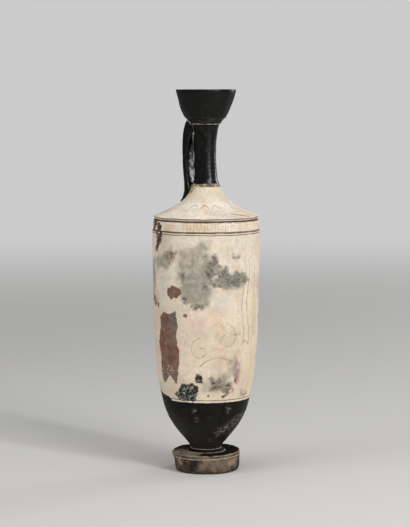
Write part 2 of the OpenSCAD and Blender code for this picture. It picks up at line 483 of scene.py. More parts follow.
def in_patch(azimuth, z, corners):
    """Signed distance of every mesh point to a patch with corners given as azimuth and height."""
    corners = np.array(corners, float)
    ring = np.vstack([corners, corners[:1]])
    away = to_strokes(azimuth, z, ring)
    x = along(nearer_turn(azimuth, ring[:, 0].mean()))
    inside = np.zeros(len(x), bool)
    for (a, low), (b, high) in zip(ring[:-1], ring[1:]):
        if low != high:
            crossing = along(a) + (z - low) / (high - low) * (along(b) - along(a))
            inside ^= ((low > z) != (high > z)) & (x < crossing)
    return np.where(inside, away, -away)


def blot(seed, azimuth, z, width, height, corners=11):
    """Corners of an irregular patch round a place, with a width and height in millimetres."""
    rng = np.random.RandomState(seed)
    turns = np.linspace(0, 2 * np.pi, corners, endpoint=False)
    reach = rng.uniform(0.45, 1.15, corners)
    wide = np.degrees(width / 2 / BELLY)
    return [(azimuth + wide * k * math.cos(t), z + height / 2 * k * math.sin(t))
            for t, k in zip(turns, reach)]


# A plain hung sash with a swallow tail, its colour worn
WORN_SASH = [(-59, 158), (-52, 163), (-44, 161), (-35, 164), (-32, 151), (-35, 138), (-31, 124),
             (-33, 108), (-37, 91), (-47, 100), (-60, 89), (-64, 103), (-61, 117), (-65, 131), (-60, 145)]

# The side that faces the camera: each patch is a list of corners or a blot with a seed of its own
PATCHES = {
    "stain": [
        [(-31, 225), (-15, 229), (4, 231), (6, 214), (8, 186), (2, 169), (-17, 170), (-29, 180), (-33, 205)],
        [(-70, 214), (-56, 222), (-40, 226), (-34, 215), (-46, 206), (-66, 203)],
        [(-88, 205), (-74, 214), (-70, 188), (-76, 168), (-88, 170)],
        [(-5, 97), (8, 101), (24, 103), (30, 93), (18, 84), (-4, 86)],
        [(24, 116), (33, 120), (36, 104), (27, 97)],
        [(-16, 203), (6, 200), (9, 186), (3, 170), (-15, 172), (-20, 188)],
    ],
    "grime": [
        [(-28, 200), (-14, 205), (2, 200), (5, 186), (2, 170), (-16, 171), (-25, 181)],
        blot(50, 30, 195, 26, 18),
    ],
    "mottle": [
        blot(51, 7, 208, 24, 30, 13), blot(52, 20, 198, 28, 26, 13),
        blot(53, 38, 194, 26, 24, 13), blot(54, -8, 169, 15, 7),
        blot(55, -24, 176, 9, 10), blot(56, -25, 198, 6, 9),
        blot(57, -68, 171, 13, 8), blot(58, 33, 218, 11, 5),
    ],
    "core": [
        blot(61, 9, 214, 9, 12), blot(62, 3, 201, 7, 11),
        blot(63, 18, 201, 12, 9), blot(64, 33, 193, 12, 10),
        blot(65, 44, 196, 7, 6), blot(66, -1, 189, 5, 7),
        blot(67, -9, 169, 11, 6), blot(68, -24, 176, 8, 9),
        blot(69, -25, 200, 4, 7),
    ],
    "smudge": [
        [(-52, 215), (-48, 222), (-40, 224), (-32, 221), (-36, 217), (-41, 209), (-43, 215)],
        blot(15, -53, 214, 3, 4),
        [(-90, 286), (-60, 286), (-40, 285), (-50, 281), (-64, 277), (-84, 279)],
    ],
    "pale": [
        blot(46, 15, 175, 22, 17), blot(47, 28, 211, 9, 8),
        [(-58, 196), (-50, 201), (-46, 192), (-50, 176), (-58, 176)],
    ],
    "red": [
        WORN_SASH,
        blot(25, -38, 183, 19, 20, 14), blot(26, -63, 168, 5, 6),
        blot(27, -23, 160, 5, 4), blot(21, 37, 96, 3, 7),
        blot(22, 3, 81, 7, 4), blot(23, 22, 80, 8, 4),
        blot(24, 27, 91, 4, 7),
    ],
    "slate": [
        [(-43, 162), (-33, 165), (-30, 150), (-33, 136), (-40, 137), (-45, 150)],
        [(-66, 104), (-48, 103), (-35, 99), (-36, 89), (-47, 98), (-61, 87)],
    ],
    "specks": [
        [(-64, 107), (-44, 110), (-38, 103), (-46, 99), (-62, 101)],
    ],
    "flaky": [
        blot(81, -34, 79, 16, 11, 9), blot(82, -25, 84, 22, 20, 9),
        blot(83, -18, 81, 20, 16, 9), blot(84, -14, 88, 16, 14, 9),
        blot(85, -9, 98, 11, 12, 9),
    ],
    "worn": [
        blot(33, 12, 93, 20, 15), blot(34, 25, 87, 15, 15),
    ],
    "blush": [
        [(33, 126), (43, 128), (46, 110), (42, 92), (35, 96)],
        [(20, 96), (30, 97), (38, 84), (34, 79), (19, 79)],
        [(1, 166), (16, 170), (22, 160), (9, 154)],
        [(-19, 158), (-8, 160), (2, 156), (-6, 146), (-17, 150)],
        [(8, 128), (24, 132), (28, 112), (14, 108)],
        [(-24, 219), (-12, 226), (2, 228), (0, 219), (-14, 214)],
    ],
    "ochre": [
        blot(38, 76, 182, 9, 30), blot(39, -70, 172, 5, 6),
    ],
    "gold": [
        [(40, 250), (60, 252), (80, 251), (80, 243), (62, 242), (44, 243)],
        [(-24, 250), (-8, 252), (4, 250), (4, 243), (-22, 243)],
        [(-52, 250), (-36, 250), (-34, 243), (-50, 243)],
        [(66, 236), (78, 236), (80, 206), (68, 206)],
        [(60, 186), (67, 190), (70, 160), (66, 138), (60, 146), (63, 166)],
        [(58, 118), (66, 124), (70, 96), (66, 82), (56, 84)],
        [(34, 258), (48, 262), (62, 260), (80, 262), (78, 255), (50, 255)],
        [(-10, 268), (-2, 270), (2, 262), (-6, 259)],
        [(4, 150), (16, 158), (22, 146), (14, 136)],
    ],
    "rose": [
        blot(35, 37, 107, 11, 34), blot(36, 28, 87, 13, 15),
        blot(37, 52, 81, 15, 9),
    ],
    "spill": [
        [(-95, 80), (-76, 81), (-64, 78), (-55, 78), (-50, 74), (-48, 70), (-95, 70)],
    ],
    "loss": [
        [(-80, 253), (-68, 253), (-65, 249), (-70, 245), (-73, 240), (-79, 243)],
        [(-66, 249), (-60, 251), (-55, 246), (-54, 238), (-57, 231), (-64, 222), (-69, 219), (-70, 226),
         (-66, 234), (-69, 240), (-64, 244)],
        [(-76, 176), (-71, 177), (-68, 172), (-73, 169), (-78, 171)],
    ],
    "rubbed": [
        [(16, 41), (22, 46), (34, 50), (50, 57), (66, 61), (70, 56), (66, 50), (50, 46), (38, 41), (26, 37)],
        blot(41, 32, 66, 6, 9), blot(42, -16, 65, 6, 5),
        blot(43, 2, 58, 5, 4), blot(44, 9, 33, 8, 4),
        blot(45, -14, 56, 5, 4),
    ],
}

# The other sides: how many patches of each sort, their least and greatest width, and the heights
# that they keep to
SCATTER = {
    "stain": (5, 24, 52, 110, 225),
    "grime": (3, 12, 26, 110, 215),
    "mottle": (4, 12, 26, 120, 220),
    "core": (3, 5, 10, 130, 210),
    "smudge": (2, 5, 9, 180, 228),
    "pale": (4, 12, 28, 100, 220),
    "red": (5, 8, 24, 95, 190),
    "flaky": (3, 9, 20, 76, 100),
    "worn": (3, 8, 20, 80, 120),
    "blush": (7, 14, 30, 90, 230),
    "ochre": (4, 6, 22, 110, 240),
    "gold": (6, 14, 30, 110, 262),
    "rose": (4, 6, 16, 84, 130),
    "spill": (3, 8, 13, 70, 73),
    "slate": (4, 10, 22, 95, 185),
    "specks": (3, 6, 14, 95, 180),
    "loss": (3, 5, 14, 90, 240),
    "rubbed": (8, 6, 20, 32, 66),
}
UNSEEN_FROM = 88
UNSEEN_TO = 262


def scattered(layer):
    count, least, most, low, high = SCATTER[layer]
    seed = 100 + list(SCATTER).index(layer)
    rng = np.random.RandomState(seed)
    for i in range(count):
        azimuth = UNSEEN_FROM + (UNSEEN_TO - UNSEEN_FROM) * (i + rng.uniform(0.2, 0.8)) / count
        width = rng.uniform(least, most)
        height = width * rng.uniform(0.7, 1.5)
        yield blot(seed * 10 + i, azimuth, rng.uniform(low, high), width, height)


def arc(azimuth, z, radius, start, end, steps=14):
    """Part of a circle on the vessel's side, radius in millimetres and angles in degrees."""
    turns = np.radians(np.linspace(start, end, steps))
    return [(azimuth + np.degrees(radius * math.cos(t) / BELLY), z + radius * math.sin(t)) for t in turns]


def tendril(azimuth, z, reach, way, steps=26):
    """A spiral that opens into a stem, as in the usual ornament between palmettes."""
    points = []
    for i in range(steps):
        t = i / (steps - 1)
        turn = math.radians(way * 400 * (1 - t) ** 1.3)
        radius = reach * (0.12 + 0.88 * t)
        points.append((azimuth + np.degrees(radius * math.sin(turn) / BELLY), z + radius * math.cos(turn)))
    return points


def hanging_fillet(azimuth, top, length, width, swing):
    """Two edges of a hung ribbon, with its swallow tail."""
    edges = []
    for side in (-1, 1):
        points = []
        for i in range(16):
            t = i / 15
            sway = swing * math.sin(2.6 * math.pi * t + 0.5)
            points.append((azimuth + sway + side * width / 2 * (0.6 + 0.4 * t), top - length * t))
        edges.append(points)
    left, right = edges[0][-1], edges[1][-1]
    edges.append([left, (azimuth + (left[0] - azimuth) * 0.1, left[1] + 5), right])
    return edges


# Thin lines: how far each stands back from full strength, in millimetres, and its points
FINE_LINES = [(0.10, points) for points in hanging_fillet(48, 214, 84, 9, 2.4)]
FINE_LINES += [(0.20, points) for points in hanging_fillet(66, 208, 70, 7, 1.6)]
FINE_LINES += [
    (0.14, arc(14, 94, 25, 50, 140)),
    (0.12, tendril(22, 138, 15, 1)),
    (0.22, tendril(-6, 126, 13, -1)),
    (0.18, arc(34, 158, 17, 200, 292)),
    (0.26, arc(-22, 259, 8, 15, 165)),
    (0.20, arc(-2, 259, 8, 15, 165)),
    (0.28, arc(18, 259, 8, 15, 165)),
    (0.24, [(36, 259), (47, 257.5), (60, 256)]),
]
for unit in range(4):
    odd = unit % 2
    ribbon = hanging_fillet(112 + 42 * unit, 212 - 7 * odd, 76, 8, 2)
    FINE_LINES += [(0.24, points) for points in ribbon]
    FINE_LINES.append((0.28, tendril(133 + 42 * unit, 150 + 9 * odd, 15, 1 - 2 * odd)))
    FINE_LINES.append((0.26, arc(98 + 44 * unit, 259, 9, 15, 165)))


def paint(piece, skin):
    """Stores the places of the painted and worn patches on a piece of the body."""
    for layer, patches in PATCHES.items():
        least = np.full(len(skin.z), NOWHERE)
        for corners in patches + list(scattered(layer)):
            least = np.maximum(least, in_patch(skin.azimuth, skin.z, corners))
        store(piece, layer, np.where(skin.outer, least, NOWHERE))
    nearest = np.full(len(skin.z), -NOWHERE)
    for back, points in FINE_LINES:
        nearest = np.minimum(nearest, to_strokes(skin.azimuth, skin.z, points) + back)
    store(piece, "line", nearest ** 2)
    store(piece, "inner", ~skin.outer)


# Materials

class Shader:
    """Makes the nodes of a material and links them."""

    def __init__(self, name):
        self.material = bpy.data.materials.new(name)
        self.material.use_nodes = True
        self.tree = self.material.node_tree
        self.surface = self.tree.nodes["Principled BSDF"]
        self.place = self.make("ShaderNodeTexCoord").outputs["Object"]
        split = self.make("ShaderNodeSeparateXYZ")
        self.put(split.inputs[0], self.place)
        self.x, self.y, self.z = split.outputs
        self.height = self.times(self.z, 1 / MM)

    def make(self, kind, **settings):
        node = self.tree.nodes.new(kind)
        for key, value in settings.items():
            setattr(node, key, value)
        return node

    def put(self, socket, value):
        if isinstance(value, bpy.types.NodeSocket):
            self.tree.links.new(value, socket)
        else:
            socket.default_value = value

    def math(self, operation, *values):
        node = self.make("ShaderNodeMath", operation=operation)
        for socket, value in zip(node.inputs, values):
            self.put(socket, value)
        return node.outputs[0]

    def plus(self, a, b):
        return self.math("ADD", a, b)

    def minus(self, a, b):
        return self.math("SUBTRACT", a, b)

    def times(self, a, b):
        return self.math("MULTIPLY", a, b)

    def most(self, a, b):
        return self.math("MAXIMUM", a, b)

    def least(self, a, b):
        return self.math("MINIMUM", a, b)

    def away(self, a, b):
        """Distance between two numbers."""
        return self.math("ABSOLUTE", self.minus(a, b))

    def ramp(self, value, low, high):
        """0 at low, 1 at high, smooth between; low may be the greater."""
        node = self.make("ShaderNodeMapRange", interpolation_type="SMOOTHSTEP")
        self.put(node.inputs[0], value)
        node.inputs[1].default_value = low
        node.inputs[2].default_value = high
        return node.outputs[0]

    def mix(self, amount, below, above):
        node = self.make("ShaderNodeMix", data_type="RGBA")
        for i, value in ((0, amount), (6, below), (7, above)):
            self.put(node.inputs[i], value)
        return node.outputs[2]

    def wash(self, below, amount, strength, above):
        """One colour over another, as far as an amount times a strength."""
        return self.mix(self.times(amount, strength), below, above)

    def blend(self, amount, below, above):
        """Like mix, for numbers."""
        node = self.make("ShaderNodeMix", data_type="FLOAT")
        for i, value in ((0, amount), (2, below), (3, above)):
            self.put(node.inputs[i], value)
        return node.outputs[0]

    def noise(self, size, detail=3.0, stretch=None):
        """Noise between about 0.2 and 0.8 with features of a size in millimetres."""
        node = self.make("ShaderNodeTexNoise")
        place = self.place
        if stretch:
            scaled = self.make("ShaderNodeVectorMath", operation="MULTIPLY")
            self.put(scaled.inputs[0], place)
            scaled.inputs[1].default_value = stretch
            place = scaled.outputs[0]
        self.put(node.inputs["Vector"], place)
        node.inputs["Scale"].default_value = 1 / (size * MM)
        node.inputs["Detail"].default_value = detail
        return node.outputs[0]

    def stored(self, name):
        return self.make("ShaderNodeAttribute", attribute_name=name).outputs["Fac"]

    def cover(self, name, ragged, soft, size):
        """How far a stored patch covers the ground: its edge moved by noise, sharp or soft."""
        rough = self.times(self.minus(self.noise(size, 5.0), 0.5), 4 * ragged)
        return self.ramp(self.plus(self.stored(name), rough), -soft, soft)

    def tones(self, size, below, above, low=0.42, high=0.58, detail=4.0):
        """Two tones of one colour, in clouds of a size."""
        return self.mix(self.ramp(self.noise(size, detail), low, high), below, above)

    def finish(self, color, roughness, height, depth, specular):
        """Links the shader's sockets; depth is that of the relief in millimetres."""
        self.put(self.surface.inputs["Base Color"], color)
        self.put(self.surface.inputs["Roughness"], roughness)
        self.surface.inputs["Specular IOR Level"].default_value = specular
        bump = self.make("ShaderNodeBump")
        bump.inputs["Strength"].default_value = 1.0
        bump.inputs["Distance"].default_value = depth * MM
        self.put(bump.inputs["Height"], height)
        self.put(self.surface.inputs["Normal"], bump.outputs[0])
        return self.material


CLAY = tone(150, 112, 86)
GLOSS = tone(11, 11, 10)
GLOSS_BROWN = tone(26, 21, 17)
GLOSS_GREY = tone(44, 42, 39)
GLOSS_DEEP = tone(9, 9, 8)
# Painted light: a lighter gloss for the bowl's lowest part, which faces down into shade
GLOSS_PAINTED_LIGHT = tone(42, 41, 38)

MEANDER_LOW = 242.2
MEANDER_HIGH = 251.0
MEANDER_UNITS = 32
MEANDER_STROKE = 0.36
GLOSS_TOP = 73.6
COLLAR_FOOT = 285.2

# Lines painted round the body on the wheel: height, half width, strength and colour
RINGS = [
    (254.2, 0.60, 0.85, tone(112, 80, 56)),
    (251.8, 0.80, 0.94, tone(62, 43, 31)),
    (241.4, 0.80, 0.92, tone(60, 44, 34)),
    (239.0, 0.50, 0.80, tone(74, 58, 47)),
    (75.9, 0.42, 0.85, tone(84, 62, 48)),
]


def meander_strokes(s, turn):
    """Signed distance in millimetres to the strokes of the running key pattern."""
    unit = 2 * math.pi * BELLY / MEANDER_UNITS
    x = s.times(s.math("FRACT", s.times(turn, MEANDER_UNITS / (2 * math.pi))), unit)
    tall = MEANDER_HIGH - MEANDER_LOW
    y = s.minus(s.height, MEANDER_LOW)
    strokes = [
        (0.08, 0.08, 0.04, 0.95),
        (0.08, 0.78, 0.95, 0.95),
        (0.78, 0.78, 0.30, 0.95),
        (0.36, 0.78, 0.30, 0.30),
        (0.36, 0.36, 0.30, 0.66),
        (0.00, 1.00, 0.02, 0.02),
    ]
    nearest = None
    for left, right, low, high in strokes:
        aside = s.minus(s.away(x, (left + right) / 2 * unit), (right - left) / 2 * unit)
        above = s.minus(s.away(y, (low + high) / 2 * tall), (high - low) / 2 * tall)
        outside = s.most(aside, above)
        nearest = outside if nearest is None else s.least(nearest, outside)
    return s.minus(MEANDER_STROKE, nearest)


def ring(s, height, half_width, wander):
    """A line painted round the vessel on the wheel, a little uneven in height and strength."""
    at = s.plus(s.height, s.times(s.minus(wander, 0.5), 1.1))
    return s.ramp(s.away(at, height), half_width + 0.25, half_width - 0.25)


def cracks(s):
    """A net of fine cracks, here and there."""
    shake = s.make("ShaderNodeTexNoise")
    shake.inputs["Scale"].default_value = 1 / (6 * MM)
    s.put(shake.inputs["Vector"], s.place)
    shaken = s.make("ShaderNodeVectorMath", operation="MULTIPLY_ADD")
    s.put(shaken.inputs[0], shake.outputs["Color"])
    shaken.inputs[1].default_value = (4 * MM,) * 3
    s.put(shaken.inputs[2], s.place)
    net = s.make("ShaderNodeTexVoronoi", feature="DISTANCE_TO_EDGE")
    net.inputs["Scale"].default_value = 1 / (7 * MM)
    s.put(net.inputs["Vector"], shaken.outputs[0])
    return s.times(s.ramp(net.outputs[0], 0.028, 0.0), s.ramp(s.noise(24, 3.0), 0.48, 0.62))


def cream_slip(s, grain, flecks):
    """Cream slip, paler high up, with yellow clouds, a fine grey grain and cracks."""
    broad = s.ramp(s.noise(42, 2.0), 0.40, 0.60)
    lower = s.mix(broad, tone(225, 208, 185), tone(217, 200, 178))
    upper = s.mix(broad, tone(227, 215, 198), tone(219, 206, 188))
    high = s.mix(broad, tone(236, 228, 216), tone(229, 219, 206))
    top = s.mix(broad, tone(210, 198, 176), tone(202, 190, 168))
    color = s.mix(s.ramp(s.height, 120, 215), lower, upper)
    color = s.mix(s.ramp(s.height, 240, 256), color, high)
    color = s.mix(s.ramp(s.height, 266, 276), color, top)
    for noise, start, full, strength, shade in (
            (s.noise(10, 4.0), 0.50, 0.66, 0.45, tone(222, 201, 168)),
            (s.noise(22, 5.0), 0.52, 0.64, 0.60, tone(199, 184, 163)),
            (s.noise(13, 5.0, (1, 1, 0.5)), 0.54, 0.66, 0.45, tone(205, 190, 176)),
            (s.noise(4, 6.0), 0.50, 0.66, 0.40, tone(196, 182, 164)),
            (grain, 0.52, 0.70, 0.60, tone(184, 168, 147)),
            (flecks, 0.62, 0.71, 0.60, tone(174, 148, 120)),
            (s.noise(5, 4.0, (1, 1, 0.35)), 0.58, 0.70, 0.35, tone(236, 226, 210))):
        color = s.wash(color, s.ramp(noise, start, full), strength, shade)
    return s.wash(color, cracks(s), 0.4, tone(160, 140, 118))


def soft_tints(s, color):
    """Yellow, pink and reddish tints, and grey stains with darker mottling."""
    gold = s.cover("gold", 2.4, 3.0, 6)
    color = s.wash(color, gold, 0.45, s.tones(5, tone(204, 174, 130), tone(214, 190, 152)))
    blush = s.cover("blush", 2.6, 4.0, 9)
    color = s.wash(color, blush, 0.55, s.tones(7, tone(214, 186, 168), tone(200, 166, 154)))
    rose = s.times(s.cover("rose", 2.0, 2.0, 4), s.ramp(s.noise(3.5, 6.0), 0.32, 0.54))
    color = s.wash(color, rose, 0.85, s.tones(2.5, tone(158, 114, 102), tone(142, 116, 116)))

    stain = s.times(s.cover("stain", 4.0, 4.5, 12), s.ramp(s.noise(9, 6.0), 0.16, 0.48))
    stain_tone = s.tones(6, tone(176, 168, 152), tone(148, 143, 127), 0.38, 0.62, 6.0)
    streaks = s.ramp(s.noise(3, 6.0, (1, 1, 0.4)), 0.50, 0.66)
    color = s.wash(color, stain, 0.88, s.wash(stain_tone, streaks, 0.4, tone(128, 124, 110)))
    grime_strength = s.plus(0.55, s.times(s.ramp(s.noise(4, 6.0), 0.3, 0.6), 0.3))
    grime_tone = s.tones(5, tone(140, 135, 121), tone(156, 150, 136), 0.40, 0.60, 6.0)
    color = s.wash(color, s.cover("grime", 3.0, 3.5, 8), grime_strength, grime_tone)

    mottle_tone = s.mix(s.ramp(s.noise(2.6, 8.0), 0.36, 0.64), tone(96, 92, 83), tone(156, 150, 138))
    mottle_tone = s.wash(mottle_tone, s.ramp(s.noise(7, 6.0), 0.44, 0.62), 0.6, tone(132, 128, 118))
    mottle_strength = s.plus(0.66, s.times(s.ramp(s.noise(5, 6.0), 0.34, 0.54), 0.3))
    color = s.wash(color, s.cover("mottle", 2.2, 2.0, 5), mottle_strength, mottle_tone)
    core = s.times(s.cover("core", 2.2, 1.4, 3), s.ramp(s.noise(3.2, 6.0), 0.34, 0.54))
    core_tone = s.mix(s.ramp(s.noise(2.2, 7.0), 0.36, 0.62), tone(68, 62, 61), tone(118, 110, 103))
    color = s.wash(color, core, 0.85, core_tone)

    pale = s.cover("pale", 2.0, 2.4, 6)
    color = s.wash(color, pale, 0.75, s.tones(5, tone(210, 204, 194), tone(198, 192, 182)))
    smudge = s.times(s.cover("smudge", 2.2, 1.8, 4), s.ramp(s.noise(2.4, 5.0), 0.40, 0.56))
    color = s.wash(color, smudge, 0.85, tone(124, 100, 74))
    ochre = s.times(s.cover("ochre", 1.2, 1.0, 5), s.ramp(s.noise(5, 5.0), 0.32, 0.52))
    return s.wash(color, ochre, 0.8, s.tones(4, tone(190, 158, 132), tone(166, 136, 116)))


def worn_lines(s, color, turn):
    """Thin lines of the ornament, the running key, best kept near the front, and the rings."""
    fade = s.ramp(s.noise(14, 3.0), 0.36, 0.56)
    line = s.ramp(s.stored("line"), 1.0, 0.10)
    color = s.wash(color, line, s.plus(0.42, s.times(fade, 0.4)), tone(152, 118, 84))

    key = s.ramp(meander_strokes(s, turn), -0.15, 0.3)
    front = s.math("COSINE", s.minus(turn, FRONT - math.radians(9)))
    kept_in_front = s.ramp(front, math.cos(math.radians(17)), math.cos(math.radians(10)))
    kept = s.most(s.ramp(s.noise(26, 2.0), 0.47, 0.60), kept_in_front)
    key = s.times(key, s.ramp(s.noise(3.0, 5.0), 0.34, 0.50))
    color = s.wash(color, key, s.plus(0.10, s.times(kept, 0.78)), tone(184, 142, 92))

    wander = s.noise(16, 3.0)
    streak = s.ramp(s.noise(7, 5.0), 0.30, 0.50)
    for height, half_width, strength, shade in RINGS:
        uneven = s.plus(strength - 0.25, s.times(streak, 0.25))
        color = s.wash(color, ring(s, height, half_width, wander), uneven, shade)
    return color


def collar_coat(s, color, turn):
    """The collar below the neck: thin brown gloss over bare clay, lowest at the front right."""
    front_right = s.math("COSINE", s.minus(turn, FRONT + math.radians(30)))
    foot = s.minus(COLLAR_FOOT, s.times(s.ramp(front_right, -0.2, 0.8), 1.4))
    uneven = s.times(s.minus(s.noise(3, 4.0), 0.5), 2)
    collar = s.ramp(s.plus(s.minus(s.height, foot), uneven), -0.4, 0.5)
    return s.wash(color, collar, 0.9, s.tones(3, tone(72, 56, 44), tone(168, 144, 118)))


def faded_red(s, color):
    """Brown red, faded to grey in places, with specks where the slip shows."""
    reds = s.tones(9, tone(115, 75, 61), tone(125, 93, 78), 0.40, 0.60)
    reds = s.wash(reds, s.ramp(s.noise(5, 6.0), 0.50, 0.64), 0.5, tone(78, 48, 42))
    reds = s.wash(reds, s.ramp(s.noise(2.2, 6.0), 0.54, 0.68), 0.5, tone(82, 54, 48))
    slate_tone = s.tones(5, tone(112, 107, 97), tone(90, 84, 78), 0.38, 0.62, 6.0)
    reds = s.wash(reds, s.cover("slate", 2.6, 4.5, 6), 0.85, slate_tone)
    specks = s.times(s.cover("specks", 2.0, 1.6, 4), s.ramp(s.noise(2.0, 6.0), 0.48, 0.58))
    rare = s.ramp(s.noise(3.1, 6.0), 0.66, 0.70)
    reds = s.wash(reds, s.most(specks, rare), 0.8, tone(176, 150, 120))
    return s.wash(color, s.cover("red", 0.9, 0.45, 4), 0.96, reds)


def bowl_coat(s):
    """Colour of the bowl's black gloss, lightened towards the foot as painted light, how far it is rubbed,
    and its nicks.
    """
    black = s.tones(14, GLOSS, GLOSS_BROWN, 0.50, 0.66)
    black = s.wash(black, s.ramp(s.noise(3, 5.0), 0.55, 0.70), 0.5, GLOSS_GREY)
    # Painted light: the gloss turns lighter towards the foot, where the bowl faces down into shade
    black = s.mix(s.ramp(s.height, 62, 26), black, GLOSS_PAINTED_LIGHT)
    rubbed = s.ramp(s.noise(3.4, 7.0, (1, 1, 1.8)), 0.42, 0.62)
    rubbed = s.times(s.cover("rubbed", 2.4, 2.6, 4), rubbed)
    black = s.wash(black, rubbed, 0.85, s.tones(2.0, tone(74, 68, 61), tone(142, 130, 116)))
    nicks = s.ramp(s.noise(3.4, 3.0), 0.72, 0.76)
    return s.mix(nicks, black, tone(170, 158, 140)), rubbed, nicks


def white_ground():
    """The body and the shoulder: worn cream slip, with black gloss on the bowl."""
    s = Shader("white_ground")
    grain = s.noise(1.1, 5.0)
    flecks = s.noise(2.6, 6.0)
    turn = s.math("ARCTAN2", s.y, s.x)
    color = soft_tints(s, cream_slip(s, grain, flecks))
    color = collar_coat(s, worn_lines(s, color, turn), turn)
    color = faded_red(s, color)

    # Dark worn patches, flaking and losses
    worn = s.times(s.cover("worn", 2.6, 2.8, 4), s.ramp(s.noise(3.2, 7.0), 0.26, 0.52))
    worn_tone = s.tones(2.4, tone(66, 61, 54), tone(134, 125, 110), 0.36, 0.64, 7.0)
    color = s.wash(color, worn, 0.94, worn_tone)
    flaky = s.cover("flaky", 1.5, 0.5, 3)
    chips = s.ramp(s.noise(2.4, 8.0), 0.49, 0.64)
    chip_tone = s.tones(1.6, tone(104, 100, 94), tone(180, 175, 165), 0.42, 0.62, 6.0)
    color = s.mix(flaky, color, s.mix(chips, tone(40, 40, 37), chip_tone))
    loss = s.times(s.cover("loss", 2.0, 0.6, 3), s.ramp(s.noise(4, 5.0), 0.36, 0.46))
    color = s.mix(loss, color, s.tones(3, tone(54, 44, 38), tone(96, 78, 62)))

    # Black gloss on the bowl, the reserved line above it, and bare clay inside
    edge = s.times(s.minus(s.noise(4, 4.0), 0.5), 1.2)
    zone = s.ramp(s.plus(s.minus(GLOSS_TOP, s.height), edge), -0.3, 0.3)
    zone = s.most(zone, s.cover("spill", 1.0, 0.5, 4))
    reserved = s.ramp(s.away(s.height, GLOSS_TOP + 0.8), 0.65, 0.35)
    color = s.wash(color, reserved, 0.85, s.tones(3, tone(232, 222, 202), tone(212, 198, 172)))
    black, rubbed, nicks = bowl_coat(s)
    color = s.mix(zone, color, black)
    color = s.mix(s.stored("inner"), color, CLAY)

    dull = s.plus(0.55, s.times(grain, 0.25))
    shine = s.plus(0.26, s.times(s.noise(6, 4.0), 0.25))
    shine = s.blend(rubbed, shine, 0.6)
    roughness = s.blend(zone, s.blend(flaky, dull, 0.45), shine)
    height = s.plus(s.times(grain, 0.22), s.times(flecks, 0.35))
    height = s.plus(height, s.times(s.ramp(s.noise(30, 8.0), 0.494, 0.506), 0.05))
    height = s.minus(height, s.times(loss, 0.6))
    height = s.minus(height, s.times(s.times(flaky, chips), 0.35))
    bowl_height = s.minus(s.times(s.noise(1.5, 3.0), 0.12), s.times(s.most(rubbed, nicks), 0.3))
    height = s.blend(zone, height, bowl_height)
    return s.finish(color, roughness, height, 0.35, 0.30)


def black_gloss():
    """The neck, mouth and handle: a near-black coat, brown where thin, bare clay at its losses."""
    s = Shader("black_gloss")
    thin = s.ramp(s.noise(9, 4.0, (1, 1, 0.5)), 0.52, 0.68)
    color = s.wash(GLOSS_DEEP, thin, 0.4, GLOSS_BROWN)
    bloom = s.ramp(s.noise(3.5, 6.0, (1, 1, 0.4)), 0.56, 0.70)
    color = s.wash(color, bloom, 0.35, GLOSS_GREY)
    nicks = s.ramp(s.noise(3.0, 3.0), 0.73, 0.77)
    bare = s.most(nicks, s.cover("bare", 0.5, 0.35, 3))
    color = s.wash(color, bare, 0.9, s.tones(2.5, tone(206, 200, 190), tone(150, 140, 126)))
    shine = s.plus(0.20, s.times(s.noise(5, 5.0), 0.22))
    roughness = s.blend(bare, s.plus(shine, s.times(bloom, 0.12)), 0.65)
    height = s.plus(s.times(s.noise(4, 3.0, (1, 1, 0.3)), 0.35), s.times(s.noise(0.9, 3.0), 0.10))
    height = s.minus(height, s.times(bare, 0.4))
    return s.finish(color, roughness, height, 0.18, 0.40)


def foot_clay():
    """The foot: bare worn clay on the side with painted shade along its bottom edge, black above, and pale
    lines where edges are rubbed.
    """
    s = Shader("foot_clay")
    broad = s.noise(17, 4.0)
    patches = s.noise(7, 5.0)
    grain = s.noise(1.2, 5.0)
    side = s.mix(s.ramp(broad, 0.42, 0.58), tone(76, 65, 54), tone(112, 98, 83))
    side = s.wash(side, s.ramp(patches, 0.49, 0.60), 0.75, tone(66, 55, 46))
    side = s.mix(s.cover("dark", 3.0, 3.5, 7), side, s.tones(4, tone(42, 35, 30), tone(66, 54, 45)))
    side = s.wash(side, s.cover("light", 2.0, 1.8, 5), 0.9, tone(150, 130, 106))
    # Painted shade: the side darkens towards its bottom edge, where the foot meets the floor
    side = s.wash(side, s.ramp(s.height, 5, 0.5), 0.8, tone(62, 56, 48))
    side = s.wash(side, s.ramp(grain, 0.54, 0.70), 0.4, tone(60, 50, 42))
    side = s.wash(side, s.ramp(s.noise(2.2, 5.0), 0.62, 0.70), 0.7, tone(150, 134, 114))
    black = s.tones(8, GLOSS, GLOSS_BROWN, 0.48, 0.62)
    rubbed = s.times(s.cover("rubbed", 3.0, 7.0, 5), s.ramp(s.noise(5, 6.0), 0.26, 0.54))
    rubbed_tone = s.tones(3, tone(112, 103, 92), tone(160, 147, 129), 0.36, 0.64)
    black = s.wash(black, rubbed, 0.8, rubbed_tone)
    painted = s.cover("painted", 0.7, 0.4, 4)
    color = s.mix(painted, side, black)
    edge = s.times(s.cover("edge", 0.25, 0.3, 3), s.ramp(s.noise(5, 5.0), 0.22, 0.38))
    color = s.wash(color, edge, 0.9, s.tones(3, tone(222, 208, 186), tone(172, 152, 128)))
    shine = s.plus(0.48, s.times(s.noise(5, 4.0), 0.25))
    shine = s.blend(s.most(edge, rubbed), shine, 0.6)
    roughness = s.blend(painted, s.plus(0.62, s.times(grain, 0.2)), shine)
    height = s.plus(s.times(grain, 0.3), s.times(patches, 0.6))
    height = s.blend(painted, height, s.times(s.noise(2, 3.0), 0.15))
    return s.finish(color, roughness, height, 0.45, 0.08)


def dress(piece, material):
    piece.data.materials.clear()
    piece.data.materials.append(material)


# The strap handle

